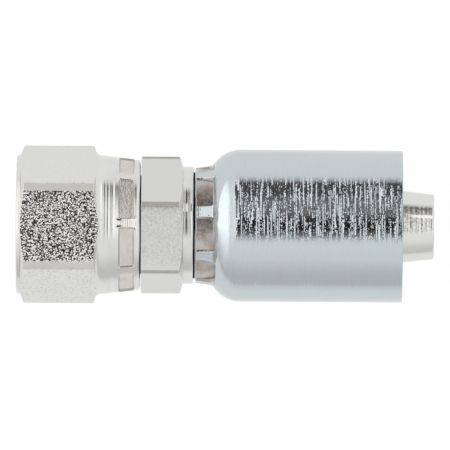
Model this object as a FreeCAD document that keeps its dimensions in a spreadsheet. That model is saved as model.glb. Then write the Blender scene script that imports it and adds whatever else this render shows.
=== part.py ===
import FreeCAD, Part
import math
import os
import Sketcher

# Crimp hose fitting: a swivel nut, a barbed hose nipple and a crimp shell, all on one axis.
# The axis is X, with the nut's mouth at the origin, the hose end towards +X and +Z up.
# The fitting lies on a flat of its nut and on its shell. Sizes are millimetres and degrees.

SIZES = [
    # Flow passage and 37 degree seat
    ("bore_diameter", 9.8, "flow passage through the nipple"),
    ("bore_edge", 0.3, "chamfer where the flow passage leaves the tail"),
    ("seat_angle", 37.0, "half angle of the concave sealing cone"),
    ("seat_lip", 0.75, "flat lip between the sealing cone and the head's outside"),
    # Swivel nut, outside
    ("nut_wall", 2.45, "from the thread's crests to the nut's flats"),
    ("nut_corner_cut", 0.435, "how far the turned corners stand below sharp ones"),
    ("nut_length", 22.36, "whole length of the nut"),
    ("nut_hex_length", 14.15, "from the nut's mouth to the rear of its hexagon"),
    ("nut_face_inset", 0.05, "how far the round front face stands inside the flats"),
    ("nut_face_length", 0.69, "how far the round front face stands proud of the hexagon"),
    ("nut_face_edge", 0.4, "chamfer round the front face"),
    ("nut_chamfer_length", 0.63, "length of the chamfer over the nut's front corners"),
    ("nut_neck_rise", 0.03, "how far the front of the tapered neck stands over the flats"),
    ("nut_neck_hollow", 0.85, "slope between hexagon and neck"),
    ("nut_skirt_wall", 2.72, "wall at the rear of the tapered neck"),
    ("nut_skirt_edge", 0.4, "chamfer at the rear of the nut"),
    ("nut_lip_length", 1.16, "plain lip behind the crimp marks"),
    ("nut_mark_length", 2.6, "length of the crimp marks on the neck"),
    ("nut_mark_depth", 0.65, "depth of the neck's flat crimp marks, in their middle"),
    ("nut_ridge_width", 1.8, "ridge left between two crimp marks on the neck"),
    ("nut_mark_angle", -3.0, "angle of the first neck ridge from straight up"),
    # Swivel nut, inside
    ("thread_diameter", 20.5, "bore of the internal thread at its crests"),
    ("nut_mouth_chamfer", 1.15, "lead-in chamfer in front of the thread"),
    ("thread_end", 11.2, "depth at which the thread ends"),
    ("relief_depth", 1.05, "run-out groove behind the thread, below the crests"),
    ("relief_length", 1.4, "width of the run-out groove"),
    ("shoulder_wall", 4.96, "from the front of the retaining shoulder to the nut's rear"),
    ("shoulder_slope", 45.0, "slope of the retaining shoulder from the axis"),
    ("shoulder_catch", 1.15, "how far the rear bore closes in behind the head"),
    ("nut_bore_edge", 0.3, "chamfer at the rear bore"),
    # Running clearances between nut and nipple
    ("neck_clearance", 0.08, "radial, between neck and rear bore"),
    ("head_clearance", 0.3, "radial, round the nipple's head"),
    ("shoulder_clearance", 0.15, "square to the retaining shoulder"),
    ("nut_end_gap", 0.2, "between the nut's rear and the nipple's hexagon"),
    # Nipple: head, hexagon and collar
    ("head_inset", 0.1, "how far the head's outside stands inside the thread's crests"),
    ("head_length", 5.89, "length of the head's cylinder"),
    ("head_chamfer", 0.5, "front edge of the head"),
    ("body_flats", 22.2, "across the flats of the nipple's hexagon"),
    ("body_corner_cut", 0.117, "how far its turned corners stand below sharp ones"),
    ("body_hex_length", 7.6, "length of the nipple's hexagon"),
    ("body_front_edge", 0.4, "front chamfer of the hexagon"),
    ("body_chamfer_length", 0.65, "rear chamfer of the hexagon"),
    ("body_angle", 10.9, "turn of the nipple's hexagon from the nut's"),
    ("collar_height", 1.97, "plain collar behind the hexagon, over the lock groove"),
    ("collar_length", 1.82, "length of the plain collar"),
    ("collar_edge", 0.25, "rear chamfer of the plain collar"),
    # Lock between nipple and shell
    ("lock_height", 2.15, "from the stem's outside up to the floor of the lock groove"),
    ("lock_ridge_height", 0.7, "ridge in the middle of the groove"),
    ("lock_ridge_width", 0.9, "width of that ridge"),
    ("lock_ridge_inset", 1.3, "from the shell's front to that ridge"),
    ("lock_clearance", 0.05, "between the crimped shell and the nipple"),
    ("shell_gap", 0.38, "between the plain collar and the shell's front"),
    # Barbed stem
    ("stem_wall", 1.55, "wall of the stem at its crests"),
    ("stem_shoulder_slope", 45.0, "slope from the lock groove down to the stem"),
    ("barb_pitch", 6.2, "spacing of the barbs"),
    ("barb_ramp", 5.0, "length of each barb's ramp"),
    ("barb_depth", 0.5, "drop at each barb's steep side"),
    ("barb_count", 4, "number of barbs"),
    ("stem_land_length", 4.45, "plain land between the last barb and the tail"),
    ("tail_length", 5.55, "tapered tail outside the shell"),
    ("tail_wall", 0.95, "wall at the tail's tip"),
    ("tail_edge", 0.3, "chamfer at the tail's tip"),
    ("stem_overhang", 5.7, "how far the tail stands out of the shell"),
    # Crimp shell
    ("shell_diameter", 27.5, "outside of the shell"),
    ("shell_wall", 1.8, "wall of the shell"),
    ("shell_length", 37.44, "whole length of the shell"),
    ("shell_collar_wall", 1.15, "crimped collar's wall over the lock ridge"),
    ("shell_collar_length", 3.09, "from the shell's front to its shoulder"),
    ("shoulder_round", 6.5, "large round of the shell's shoulder"),
    ("shoulder_tilt_ratio", 0.906, "shoulder slope, as a share of the steepest its round allows"),
    ("shell_edge", 0.2, "chamfer at the shell's rear"),
    ("shell_mark_depth", 0.56, "depth of the collar's flat crimp marks, in their middle"),
    ("shell_mark_run_out", 0.25, "how far the crimp marks reach past the collar"),
    ("shell_ridge_width", 2.0, "ridge left between two crimp marks on the collar"),
    ("shell_mark_angle", 30.2, "angle of the first collar ridge from straight up"),
    ("lead_in_depth", 0.35, "flare at the shell's mouth"),
    ("lead_in_length", 1.5, "length of that flare"),
    ("tooth_height", 0.65, "height of the gripping teeth inside the shell"),
    ("tooth_base", 2.0, "width of a tooth at its foot"),
    ("tooth_crest", 0.4, "width of a tooth at its crest"),
    ("tooth_pitch", 6.4, "spacing of the teeth"),
    ("tooth_count", 4, "number of teeth"),
    ("tooth_inset", 3.8, "from the shell's rear to the last tooth"),
    # Crimping tool and cutting
    ("crimp_jaw_count", 8, "jaws of the tool that pressed both sets of marks"),
    ("cut_margin", 2.0, "how far a cut reaches past the metal"),
]

# Each body is named for its file
NUT = "swivel_nut"
NIPPLE = "hose_nipple"
SHELL = "crimp_shell"

SKETCH_NORMAL = FreeCAD.Vector(0, 0, 1)
SKETCH_ACROSS = FreeCAD.Vector(1, 0, 0)
FLAT_AXIS, UPRIGHT_AXIS = range(-1, -3, -1)
START, END, CENTRE = range(1, 4)
ORIGIN_POINT = (FLAT_AXIS, START)

# Half diameters that several outlines share
THREAD = "Sizes.thread_diameter / 2"
NUT_FLAT = f"({THREAD} + Sizes.nut_wall)"
NUT_CORNER = f"({NUT_FLAT} * 2 / sqrt(3) - Sizes.nut_corner_cut)"
HEAD = f"({THREAD} - Sizes.head_inset)"
CHAMBER = f"({HEAD} + Sizes.head_clearance)"
NUT_BORE = f"({HEAD} - Sizes.shoulder_catch)"
NECK = f"({NUT_BORE} - Sizes.neck_clearance)"
NUT_NECK = f"({NUT_FLAT} + Sizes.nut_neck_rise)"
NUT_SKIRT = f"({NUT_BORE} + Sizes.nut_skirt_wall)"
BODY_FLAT = "(Sizes.body_flats / 2)"
BODY_CORNER = f"({BODY_FLAT} * 2 / sqrt(3) - Sizes.body_corner_cut)"
BORE = "(Sizes.bore_diameter / 2)"
STEM = f"({BORE} + Sizes.stem_wall)"
LOCK_GROOVE = f"({STEM} + Sizes.lock_height)"
LOCK_RIDGE = f"({LOCK_GROOVE} + Sizes.lock_ridge_height)"
LOCK_BORE = f"({LOCK_GROOVE} + Sizes.lock_clearance)"
LOCK_RECESS = f"({LOCK_RIDGE} + Sizes.lock_clearance)"
COLLAR = f"({LOCK_GROOVE} + Sizes.collar_height)"
SHELL_COLLAR = f"({LOCK_RECESS} + Sizes.shell_collar_wall)"
SHELL_OUTSIDE = "Sizes.shell_diameter / 2"
CAVITY = "(Sizes.shell_diameter / 2 - Sizes.shell_wall)"

# Slope and corners of the shell's shoulder, measured from the shell's front
SHOULDER_RISE = f"({SHELL_OUTSIDE} - {SHELL_COLLAR})"
STEEPEST_TILT = f"acos(1 - {SHOULDER_RISE} / Sizes.shoulder_round)"
SHOULDER_TILT = f"(Sizes.shoulder_tilt_ratio * {STEEPEST_TILT})"
SHOULDER_TOP = f"(Sizes.shell_collar_length + {SHOULDER_RISE} / tan({SHOULDER_TILT}))"
CAVITY_CORNER = f"({SHOULDER_TOP} + Sizes.shell_wall * tan({SHOULDER_TILT} / 2))"
LOCK_BORE_END = f"({CAVITY_CORNER} - ({CAVITY} - {LOCK_BORE}) / tan({SHOULDER_TILT}))"

# Places along the nipple, measured from the front of its hexagon
SHOULDER_FRONT = "(Sizes.nut_length - Sizes.shoulder_wall)"
HEX_FRONT = "(Sizes.nut_length + Sizes.nut_end_gap)"
HEAD_REAR = (
    f"({SHOULDER_FRONT} + Sizes.head_clearance / tan(Sizes.shoulder_slope)"
    f" - Sizes.shoulder_clearance / sin(Sizes.shoulder_slope) - {HEX_FRONT})"
)
HEAD_FRONT = f"({HEAD_REAR} - Sizes.head_length)"
NECK_FRONT = f"({HEAD_REAR} + ({HEAD} - {NECK}) / tan(Sizes.shoulder_slope))"
SEAT_FOOT = f"({HEAD_FRONT} + ({HEAD} - Sizes.seat_lip - {BORE}) / tan(Sizes.seat_angle))"
COLLAR_REAR = "(Sizes.body_hex_length + Sizes.collar_length)"
SHELL_FRONT = f"({COLLAR_REAR} + Sizes.shell_gap)"
RIDGE_FRONT = f"({SHELL_FRONT} + Sizes.lock_ridge_inset)"
RIDGE_REAR = f"({RIDGE_FRONT} + Sizes.lock_ridge_width)"
GROOVE_REAR = f"({SHELL_FRONT} + {LOCK_BORE_END})"
STEM_FRONT = f"({GROOVE_REAR} + ({LOCK_GROOVE} - {STEM}) / tan(Sizes.stem_shoulder_slope))"
TAIL_END = f"({SHELL_FRONT} + Sizes.shell_length + Sizes.stem_overhang)"
TAIL_START = f"({TAIL_END} - Sizes.tail_length)"
LAND_START = f"({TAIL_START} - Sizes.stem_land_length)"


def make_size_sheet(doc):
    """Write every driving size into the sheet, with its name as the cell's alias."""
    sheet = doc.addObject("Spreadsheet::Sheet", "Sizes")
    for row, (alias, value, note) in enumerate(SIZES, start=1):
        sheet.set(f"A{row}", alias)
        sheet.set(f"B{row}", str(value))
        sheet.set(f"C{row}", note)
        sheet.setAlias(f"B{row}", alias)
    doc.recompute()
    return sheet


def origin_feature(body, role):
    """Return the body's own origin plane or axis with this role."""
    return next(item for item in body.Origin.OriginFeatures if item.Role == role)


def add_body(doc, name, along="0"):
    """Add an empty body, placed this far along the fitting's axis."""
    body = doc.addObject("PartDesign::Body", name)
    body.Label = name
    body.setExpression("Placement.Base.x", along)
    return body


def add_sketch(body, name, role, turn="0"):
    """Add a sketch on an origin plane, turned about the fitting's axis by an expression."""
    turn_axis = SKETCH_NORMAL if role == "YZ_Plane" else SKETCH_ACROSS
    sketch = body.newObject("Sketcher::SketchObject", name)
    sketch.AttachmentSupport = [(origin_feature(body, role), "")]
    sketch.MapMode = "FlatFace"
    angle = float(sketch.evalExpression(turn))
    sketch.AttachmentOffset = FreeCAD.Placement(
        FreeCAD.Vector(), FreeCAD.Rotation(turn_axis, angle)
    )
    if angle:
        sketch.setExpression("AttachmentOffset.Rotation.Angle", turn)
    return sketch


def bind(sketch, name, expression, kind, *ends):
    """Add a dimension to a sketch and bind it to an expression."""
    value = float(sketch.evalExpression(expression))
    index = sketch.addConstraint(Sketcher.Constraint(kind, *ends, value))
    sketch.renameConstraint(index, name)
    sketch.setExpression(f"Constraints.{name}", expression)


def add_corner_round(sketch, before, corner, after, radius):
    """Add the arc that rounds a corner and return its index, its two ends and its end numbers."""
    to_before = (before - corner).normalize()
    to_after = (after - corner).normalize()
    half = to_before.getAngle(to_after) / 2
    reach = radius / math.tan(half)
    arrive = corner + to_before * reach
    leave = corner + to_after * reach
    centre = corner + (to_before + to_after).normalize() * (radius / math.sin(half))
    angles = [math.atan2(p.y - centre.y, p.x - centre.x) for p in (arrive, leave)]
    turns_left = (arrive - centre).cross(leave - centre).z > 0
    first, last = angles if turns_left else reversed(angles)
    if last < first:
        last += 2 * math.pi
    circle = Part.Circle(centre, SKETCH_NORMAL, radius)
    arc = sketch.addGeometry(Part.ArcOfCircle(circle, first, last), False)
    ends = (START, END) if turns_left else (END, START)
    return arc, arrive, leave, ends


def draw_outline(sketch, corners):
    """Draw a closed outline. Each corner is a name, its place along, its radius and its round."""
    count = len(corners)
    points = []
    for _, along, out, _ in corners:
        place = [float(sketch.evalExpression(text)) for text in (along, out)]
        points.append(FreeCAD.Vector(*place, 0))
    arrivals = list(points)
    departures = list(points)
    rounds = {}
    for index, (_, _, _, radius) in enumerate(corners):
        if radius:
            before, after = points[index - 1], points[(index + 1) % count]
            size = float(sketch.evalExpression(radius))
            arc, arrive, leave, ends = add_corner_round(
                sketch, before, points[index], after, size
            )
            arrivals[index], departures[index] = arrive, leave
            rounds[index] = (arc, ends)
    lines = []
    for index in range(count):
        edge = Part.LineSegment(departures[index], arrivals[(index + 1) % count])
        lines.append(sketch.addGeometry(edge, False))
    for index, (name, along, out, radius) in enumerate(corners):
        line_in, line_out = lines[index - 1], lines[index]
        if radius:
            arc, (arrive_end, leave_end) = rounds[index]
            place = (sketch.addGeometry(Part.Point(points[index]), True), START)
            for line in (line_in, line_out):
                sketch.addConstraint(Sketcher.Constraint("PointOnObject", *place, line))
            sketch.addConstraint(Sketcher.Constraint("Tangent", line_in, END, arc, arrive_end))
            sketch.addConstraint(Sketcher.Constraint("Tangent", arc, leave_end, line_out, START))
            bind(sketch, f"{name}_round", radius, "Radius", arc)
        else:
            place = (line_out, START)
            sketch.addConstraint(Sketcher.Constraint("Coincident", line_in, END, line_out, START))
        _, along_before, out_before, _ = corners[index - 1]
        if index and along == along_before:
            sketch.addConstraint(Sketcher.Constraint("Vertical", line_in))
        elif along == "0":
            sketch.addConstraint(Sketcher.Constraint("PointOnObject", *place, UPRIGHT_AXIS))
        else:
            bind(sketch, f"{name}_along", along, "DistanceX", *ORIGIN_POINT, *place)
        if index and out == out_before:
            sketch.addConstraint(Sketcher.Constraint("Horizontal", line_in))
        else:
            bind(sketch, f"{name}_out", out, "DistanceY", *ORIGIN_POINT, *place)


def turn_outline(body, kind, name, corners):
    """Revolve an outline about the fitting's axis, as a Revolution or as a Groove."""
    sketch = add_sketch(body, f"{name}_outline", "XZ_Plane", "0")
    draw_outline(sketch, corners)
    feature = body.newObject(f"PartDesign::{kind}", name)
    feature.Profile = sketch
    feature.ReferenceAxis = (sketch, ["H_Axis"])
    feature.Angle = 360
    return feature


def cut_hexagon(body, name, flat, outside, length, turn="0"):
    """Mill six flats from the body's front plane back to a length."""
    sketch = add_sketch(body, f"{name}_outline", "YZ_Plane", turn)
    corner_radius = f"{flat} * 2 / sqrt(3)"
    radius = float(sketch.evalExpression(corner_radius))
    centre = FreeCAD.Vector()
    guide = sketch.addGeometry(Part.Circle(centre, SKETCH_NORMAL, radius), True)
    rim_radius = f"{outside} + Sizes.cut_margin"
    rim_size = float(sketch.evalExpression(rim_radius))
    rim = sketch.addGeometry(Part.Circle(centre, SKETCH_NORMAL, rim_size), False)
    for circle in (guide, rim):
        sketch.addConstraint(Sketcher.Constraint("Coincident", circle, CENTRE, *ORIGIN_POINT))
    bind(sketch, "corner_radius", corner_radius, "Radius", guide)
    bind(sketch, "rim_radius", rim_radius, "Radius", rim)
    corners = [
        FreeCAD.Vector(radius * math.cos(angle), radius * math.sin(angle), 0)
        for angle in (math.radians(60 * step) for step in range(6))
    ]
    sides = [
        sketch.addGeometry(Part.LineSegment(corners[step], corners[(step + 1) % 6]), False)
        for step in range(6)
    ]
    for step in range(6):
        side, following = sides[step], sides[(step + 1) % 6]
        sketch.addConstraint(Sketcher.Constraint("Coincident", side, END, following, START))
        sketch.addConstraint(Sketcher.Constraint("PointOnObject", side, START, guide))
        if step:
            sketch.addConstraint(Sketcher.Constraint("Equal", sides[0], side))
    sketch.addConstraint(Sketcher.Constraint("Horizontal", sides[1]))
    pocket = body.newObject("PartDesign::Pocket", name)
    pocket.Profile = sketch
    pocket.Reversed = True
    pocket.setExpression("Length", length)
    return pocket


def repeat_round(body, feature, name, count):
    """Repeat a feature all the way round the fitting's axis."""
    pattern = body.newObject("PartDesign::PolarPattern", name)
    pattern.Originals = [feature]
    pattern.Axis = (origin_feature(body, "X_Axis"), [""])
    pattern.Angle = 360
    pattern.setExpression("Occurrences", count)
    body.Tip = pattern
    return pattern


def repeat_along(body, feature, name, pitch, count):
    """Repeat a feature towards the front, one pitch apart."""
    pattern = body.newObject("PartDesign::LinearPattern", name)
    pattern.Originals = [feature]
    pattern.Direction = (origin_feature(body, "X_Axis"), [""])
    pattern.Reversed = True
    pattern.setExpression("Length", f"{pitch} * ({count} - 1)")
    pattern.setExpression("Occurrences", count)
    body.Tip = pattern
    return pattern


def press_flat(body, name, corners, turn, width):
    """Press a flat into a round body, as wide as a chord, from its outline seen along the flat."""
    sketch = add_sketch(body, f"{name}_outline", "XZ_Plane", turn)
    draw_outline(sketch, corners)
    pocket = body.newObject("PartDesign::Pocket", name)
    pocket.Profile = sketch
    pocket.Midplane = True
    pocket.setExpression("Length", width)
    return pocket


def mark_width(ridge_width, radius):
    """Chord across one crimp mark, which takes a jaw's share of the circle less a ridge."""
    half = f"180 / Sizes.crimp_jaw_count - 90 * {ridge_width} / (pi * {radius})"
    return f"2 * {radius} * sin({half})"


def mark_turn(first_ridge):
    """Angle of the first crimp mark's middle, half a jaw past the first ridge."""
    return f"{first_ridge} + 180 / Sizes.crimp_jaw_count"


def neck_radius(along):
    """Radius of the nut's tapered neck at a place along it."""
    return (
        f"({NUT_NECK} - ({along} - Sizes.nut_hex_length) * ({NUT_NECK} - {NUT_SKIRT})"
        " / (Sizes.nut_length - Sizes.nut_hex_length))"
    )


def make_swivel_nut(doc):
    """Swivel nut: hexagon, tapered crimped neck, threaded mouth and retaining shoulder."""
    body = add_body(doc, NUT)
    face = f"{NUT_FLAT} - Sizes.nut_face_inset"
    relief = f"{THREAD} + Sizes.relief_depth"
    relief_rear = "Sizes.thread_end + Sizes.relief_length"
    shoulder_rear = f"{SHOULDER_FRONT} + ({CHAMBER} - {NUT_BORE}) / tan(Sizes.shoulder_slope)"
    rear_edge = f"{NUT_BORE} + Sizes.nut_bore_edge"
    hollow_rear = "(Sizes.nut_hex_length + Sizes.nut_neck_hollow)"
    skirt = "(Sizes.nut_length - Sizes.nut_skirt_edge)"
    blank = [
        ("mouth", "0", f"{THREAD} + Sizes.nut_mouth_chamfer", ""),
        ("face_rim", "0", f"{face} - Sizes.nut_face_edge", ""),
        ("face_edge", "Sizes.nut_face_edge", face, ""),
        ("face_foot", "Sizes.nut_face_length", face, ""),
        ("hex_front", "Sizes.nut_face_length + Sizes.nut_chamfer_length", NUT_CORNER, ""),
        ("hex_rear", "Sizes.nut_hex_length", NUT_CORNER, ""),
        ("hollow_front", "Sizes.nut_hex_length", f"{NUT_NECK} + Sizes.nut_neck_hollow", ""),
        ("neck_front", hollow_rear, neck_radius(hollow_rear), ""),
        ("skirt", skirt, neck_radius(skirt), ""),
        ("skirt_edge", "Sizes.nut_length", f"{neck_radius(skirt)} - Sizes.nut_skirt_edge", ""),
        ("rear_edge", "Sizes.nut_length", rear_edge, ""),
        ("rear_bore", "Sizes.nut_length - Sizes.nut_bore_edge", NUT_BORE, ""),
        ("shoulder_rear", shoulder_rear, NUT_BORE, ""),
        ("shoulder_front", SHOULDER_FRONT, CHAMBER, ""),
        ("chamber", relief_rear, CHAMBER, ""),
        ("relief_rear", relief_rear, relief, ""),
        ("relief_front", "Sizes.thread_end", relief, ""),
        ("thread_rear", "Sizes.thread_end", THREAD, ""),
        ("thread_front", "Sizes.nut_mouth_chamfer", THREAD, ""),
    ]
    turn_outline(body, "Revolution", "nut_blank", blank)
    cut_hexagon(body, "nut_flats_cut", NUT_FLAT, NUT_CORNER, hollow_rear)
    rear = "Sizes.nut_length - Sizes.nut_lip_length"
    front = f"{rear} - Sizes.nut_mark_length"
    beyond = f"{NUT_NECK} + Sizes.cut_margin"
    mark = [
        ("front_foot", front, f"{neck_radius(front)} - Sizes.nut_mark_depth", ""),
        ("front_top", front, beyond, ""),
        ("rear_top", rear, beyond, ""),
        ("rear_foot", rear, f"{neck_radius(rear)} - Sizes.nut_mark_depth", ""),
    ]
    width = mark_width("Sizes.nut_ridge_width", NUT_SKIRT)
    turn = mark_turn("Sizes.nut_mark_angle")
    flat = press_flat(body, "nut_crimp_mark", mark, turn, width)
    repeat_round(body, flat, "nut_crimp_marks", "Sizes.crimp_jaw_count")
    return body


def make_hose_nipple(doc):
    """Hose nipple: seated head, neck, hexagon, collar, lock groove, barbed stem and bore."""
    body = add_body(doc, NIPPLE, HEX_FRONT)
    chamfer_front = "Sizes.body_hex_length - Sizes.body_chamfer_length"
    tip = f"{BORE} + Sizes.tail_wall"
    blank = [
        ("seat_mouth", HEAD_FRONT, f"{HEAD} - Sizes.seat_lip", ""),
        ("lip", HEAD_FRONT, f"{HEAD} - Sizes.head_chamfer", ""),
        ("head_front", f"{HEAD_FRONT} + Sizes.head_chamfer", HEAD, ""),
        ("head_rear", HEAD_REAR, HEAD, ""),
        ("neck_front", NECK_FRONT, NECK, ""),
        ("neck_rear", "0", NECK, ""),
        ("hex_front", "0", f"{BODY_CORNER} - Sizes.body_front_edge", ""),
        ("hex_front_edge", "Sizes.body_front_edge", BODY_CORNER, ""),
        ("hex_chamfer", chamfer_front, BODY_CORNER, ""),
        ("hex_rear", "Sizes.body_hex_length", COLLAR, ""),
        ("collar_edge", f"{COLLAR_REAR} - Sizes.collar_edge", COLLAR, ""),
        ("collar_rear", COLLAR_REAR, f"{COLLAR} - Sizes.collar_edge", ""),
        ("groove_front", COLLAR_REAR, LOCK_GROOVE, ""),
        ("ridge_front_foot", RIDGE_FRONT, LOCK_GROOVE, ""),
        ("ridge_front", RIDGE_FRONT, LOCK_RIDGE, ""),
        ("ridge_rear", RIDGE_REAR, LOCK_RIDGE, ""),
        ("ridge_rear_foot", RIDGE_REAR, LOCK_GROOVE, ""),
        ("groove_rear", GROOVE_REAR, LOCK_GROOVE, ""),
        ("stem_front", STEM_FRONT, STEM, ""),
        ("tail_start", TAIL_START, STEM, ""),
        ("tail_edge", f"{TAIL_END} - Sizes.tail_edge", tip, ""),
        ("tail_tip", TAIL_END, f"{tip} - Sizes.tail_edge", ""),
        ("bore_edge", TAIL_END, f"{BORE} + Sizes.bore_edge", ""),
        ("bore_rear", f"{TAIL_END} - Sizes.bore_edge", BORE, ""),
        ("seat_foot", SEAT_FOOT, BORE, ""),
    ]
    turn_outline(body, "Revolution", "nipple_blank", blank)
    hex_length = "Sizes.body_hex_length"
    cut_hexagon(body, "body_flats_cut", BODY_FLAT, BODY_CORNER, hex_length, "Sizes.body_angle")
    ramp_start = f"{LAND_START} - Sizes.barb_ramp"
    beyond = f"{STEM} + Sizes.cut_margin"
    barb = [
        ("ramp_top", ramp_start, STEM, ""),
        ("front_top", ramp_start, beyond, ""),
        ("rear_top", LAND_START, beyond, ""),
        ("ramp_foot", LAND_START, f"{STEM} - Sizes.barb_depth", ""),
    ]
    groove = turn_outline(body, "Groove", "barb_groove", barb)
    repeat_along(body, groove, "barb_grooves", "Sizes.barb_pitch", "Sizes.barb_count")
    return body


def make_crimp_shell(doc):
    """Crimp shell: crimped collar, rounded shoulder, plain tube and gripping teeth inside."""
    body = add_body(doc, SHELL, f"{HEX_FRONT} + {SHELL_FRONT}")
    recess_front = "Sizes.lock_ridge_inset - Sizes.lock_clearance"
    recess_rear = "Sizes.lock_ridge_inset + Sizes.lock_ridge_width + Sizes.lock_clearance"
    blank = [
        ("lock_front", "0", LOCK_BORE, ""),
        ("collar_front", "0", SHELL_COLLAR, ""),
        ("collar_rear", "Sizes.shell_collar_length", SHELL_COLLAR, ""),
        ("shoulder", SHOULDER_TOP, SHELL_OUTSIDE, "Sizes.shoulder_round"),
        ("mouth_edge", "Sizes.shell_length - Sizes.shell_edge", SHELL_OUTSIDE, ""),
        ("mouth_outside", "Sizes.shell_length", f"{SHELL_OUTSIDE} - Sizes.shell_edge", ""),
        ("mouth_inside", "Sizes.shell_length", f"{CAVITY} + Sizes.lead_in_depth", ""),
        ("lead_in", "Sizes.shell_length - Sizes.lead_in_length", CAVITY, ""),
        ("cavity_front", CAVITY_CORNER, CAVITY, ""),
        ("lock_rear", LOCK_BORE_END, LOCK_BORE, ""),
        ("recess_rear_foot", recess_rear, LOCK_BORE, ""),
        ("recess_rear", recess_rear, LOCK_RECESS, ""),
        ("recess_front", recess_front, LOCK_RECESS, ""),
        ("recess_front_foot", recess_front, LOCK_BORE, ""),
    ]
    turn_outline(body, "Revolution", "shell_blank", blank)
    base_rear = "Sizes.shell_length - Sizes.tooth_inset"
    base_front = f"{base_rear} - Sizes.tooth_base"
    flank = "(Sizes.tooth_base - Sizes.tooth_crest) / 2"
    root = f"{CAVITY} + Sizes.shell_wall / 2"
    crest = f"{CAVITY} - Sizes.tooth_height"
    tooth = [
        ("root_front", base_front, root, ""),
        ("root_rear", base_rear, root, ""),
        ("foot_rear", base_rear, CAVITY, ""),
        ("crest_rear", f"{base_rear} - {flank}", crest, ""),
        ("crest_front", f"{base_front} + {flank}", crest, ""),
        ("foot_front", base_front, CAVITY, ""),
    ]
    ring = turn_outline(body, "Revolution", "tooth_ring", tooth)
    repeat_along(body, ring, "tooth_rings", "Sizes.tooth_pitch", "Sizes.tooth_count")
    mark_radius = f"{SHELL_COLLAR} - Sizes.shell_mark_depth"
    mark_rear = "Sizes.shell_collar_length + Sizes.shell_mark_run_out"
    beyond = f"{SHELL_OUTSIDE} + Sizes.cut_margin"
    mark = [
        ("front_foot", "-Sizes.cut_margin", mark_radius, ""),
        ("front_top", "-Sizes.cut_margin", beyond, ""),
        ("rear_top", mark_rear, beyond, ""),
        ("rear_foot", mark_rear, mark_radius, ""),
    ]
    width = mark_width("Sizes.shell_ridge_width", SHELL_COLLAR)
    turn = mark_turn("Sizes.shell_mark_angle")
    flat = press_flat(body, "shell_crimp_mark", mark, turn, width)
    repeat_round(body, flat, "shell_crimp_marks", "Sizes.crimp_jaw_count")
    return body


def check_document(doc, bodies):
    """Stop unless every object is sound and each body is one valid closed solid."""
    for item in doc.Objects:
        faults = {"Invalid", "Error"} & set(item.State)
        if faults:
            raise RuntimeError(f"{item.Name} did not compute: {faults}")
    for body in bodies:
        shape = body.Shape
        if shape.isNull() or not shape.isValid() or len(shape.Solids) != 1:
            raise RuntimeError(f"{body.Label} is not one valid solid")
        for feature in body.Group:
            if hasattr(feature, "AddSubShape") and feature.BaseFeature is not None:
                change = feature.Shape.Volume - feature.BaseFeature.Shape.Volume
                if abs(change) < 1e-3:
                    raise RuntimeError(f"{feature.Name} changed nothing")


def main():
    """Build the fitting and write one file for each piece."""
    doc = FreeCAD.newDocument("crimp_hose_fitting")
    make_size_sheet(doc)
    bodies = [make_swivel_nut(doc), make_hose_nipple(doc), make_crimp_shell(doc)]
    doc.recompute()
    check_document(doc, bodies)
    os.makedirs("parts", exist_ok=True)
    for body in bodies:
        body.Shape.exportStep(f"parts/{body.Label}.step")
        print(body.Label, round(body.Shape.Volume, 1), body.Shape.BoundBox)


main()
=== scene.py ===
"""Looks of a crimp hose fitting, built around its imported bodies.

The fitting lies along X with the swivel nut's mouth at the origin and +Z up. Every size below is
in millimetres, and every mesh is written in metres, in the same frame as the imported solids.
"""

import logging
import math
from collections.abc import Callable, Iterable
from dataclasses import dataclass, field
from enum import Enum

import bmesh
import bpy
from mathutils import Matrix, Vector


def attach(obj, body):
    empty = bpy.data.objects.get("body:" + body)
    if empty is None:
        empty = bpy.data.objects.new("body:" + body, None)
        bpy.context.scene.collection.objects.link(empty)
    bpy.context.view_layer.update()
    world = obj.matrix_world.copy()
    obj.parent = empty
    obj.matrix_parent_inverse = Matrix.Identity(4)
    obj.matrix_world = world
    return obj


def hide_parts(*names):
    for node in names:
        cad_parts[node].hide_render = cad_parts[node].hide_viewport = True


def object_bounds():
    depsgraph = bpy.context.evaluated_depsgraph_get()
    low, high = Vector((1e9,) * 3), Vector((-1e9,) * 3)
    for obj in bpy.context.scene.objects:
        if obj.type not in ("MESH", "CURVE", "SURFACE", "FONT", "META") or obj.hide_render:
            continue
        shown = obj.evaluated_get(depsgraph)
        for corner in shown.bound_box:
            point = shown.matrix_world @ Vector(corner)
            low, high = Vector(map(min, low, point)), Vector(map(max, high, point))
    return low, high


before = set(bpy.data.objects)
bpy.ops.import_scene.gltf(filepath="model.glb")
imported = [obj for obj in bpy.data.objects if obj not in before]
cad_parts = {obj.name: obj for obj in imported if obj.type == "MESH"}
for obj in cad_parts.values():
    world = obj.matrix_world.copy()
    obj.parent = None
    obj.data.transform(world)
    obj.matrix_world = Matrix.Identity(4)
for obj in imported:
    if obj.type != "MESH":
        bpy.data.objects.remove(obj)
CAD_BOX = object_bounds()

logging.basicConfig(level=logging.INFO, format="%(levelname)s %(message)s")
LOG = logging.getLogger("hose_fitting")

Tree = bpy.types.NodeTree
Node = bpy.types.Node
Socket = bpy.types.NodeSocket
Material = bpy.types.Material
Point = tuple[float, float]
Triple = tuple[float, float, float]
Colour = tuple[float, float, float, float]
# What a finish is made of: its colour, the pattern its roughness follows, and its normal.
Surface = tuple[Socket | Colour, Node, Node]

MM = 0.001
TURN = 360.0
SIXTH = TURN / 6
QUARTER = math.pi / 2
# Moves every pattern along Y and Z, away from the noise's own origin.
SEED = 17.0
# Outline points stay this far apart, and outlines this many degrees.
CLOSEST_POINTS = 0.02
CLOSEST_ANGLES = 0.1
# A step past a point of an outline, into the stretch that follows it.
JUST_PAST = 0.01
# Edges that turn by more degrees than these stay sharp.
LOFT_CREASE = 38.0
GROWN_CREASE = 30.0
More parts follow.
